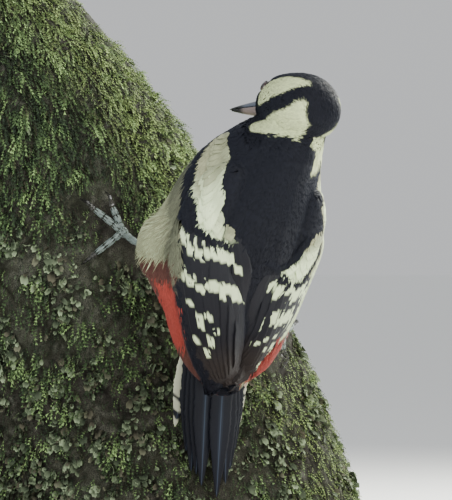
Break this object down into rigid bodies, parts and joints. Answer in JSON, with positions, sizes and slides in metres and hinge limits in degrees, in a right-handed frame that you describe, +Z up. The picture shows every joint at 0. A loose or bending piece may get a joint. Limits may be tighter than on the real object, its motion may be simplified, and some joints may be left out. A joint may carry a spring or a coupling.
{
  "type": "great spotted woodpecker, life-size museum model on a length of trunk",
  "caption": "Life-size great spotted woodpecker clinging to a short length of mossy trunk, held on a flat display stand.",
  "frame": {"origin": "centre of the underside of the display base", "axes": "+Z up; the bird's back faces -Y and its left side faces -X"},
  "size_m": [0.31, 0.226, 0.3054],
  "materials": {
    "feather_coat": "soft feathers, black, cream and red",
    "flight_feathers": "stiff barred feathers with a low sheen",
    "eye": "wet gloss",
    "bill_horn": "smooth horn, low sheen",
    "leg_skin": "scaly skin, matt",
    "claw_horn": "dark horn",
    "mossy_bark": "rough bark with moss and lichen",
    "stand_wood": "satin lacquer",
    "stand_metal": "brushed"
  },
  "bodies": {
    "root": {"head": "feather_coat", "neck": "feather_coat", "body": "feather_coat", "eye_left": "eye", "eye_right": "eye", "bill_upper": "bill_horn", "bill_lower": "bill_horn", "wing_left_coverts": "flight_feathers", "wing_left_flight_feathers": "flight_feathers", "wing_right_coverts": "flight_feathers", "wing_right_flight_feathers": "flight_feathers", "thigh_left": "feather_coat", "thigh_right": "feather_coat", "tarsus_left": "leg_skin", "tarsus_right": "leg_skin", "foot_left": "leg_skin", "foot_right": "leg_skin", "perch_trunk": "mossy_bark", "stand_base": "stand_wood", "stand_rod_1": "stand_metal", "stand_rod_2": "stand_metal", "claw_left_1": "claw_horn", "claw_left_2": "claw_horn", "claw_left_3": "claw_horn", "claw_left_4": "claw_horn", "claw_right_1": "claw_horn", "claw_right_2": "claw_horn", "claw_right_3": "claw_horn", "claw_right_4": "claw_horn", "tail_feather_left_1": "flight_feathers", "tail_feather_left_2": "flight_feathers", "tail_feather_left_3": "flight_feathers", "tail_feather_left_4": "flight_feathers", "tail_feather_left_5": "flight_feathers", "tail_feather_right_1": "flight_feathers", "tail_feather_right_2": "flight_feathers", "tail_feather_right_3": "flight_feathers", "tail_feather_right_4": "flight_feathers", "tail_feather_right_5": "flight_feathers"}
  },
  "joints": []
}
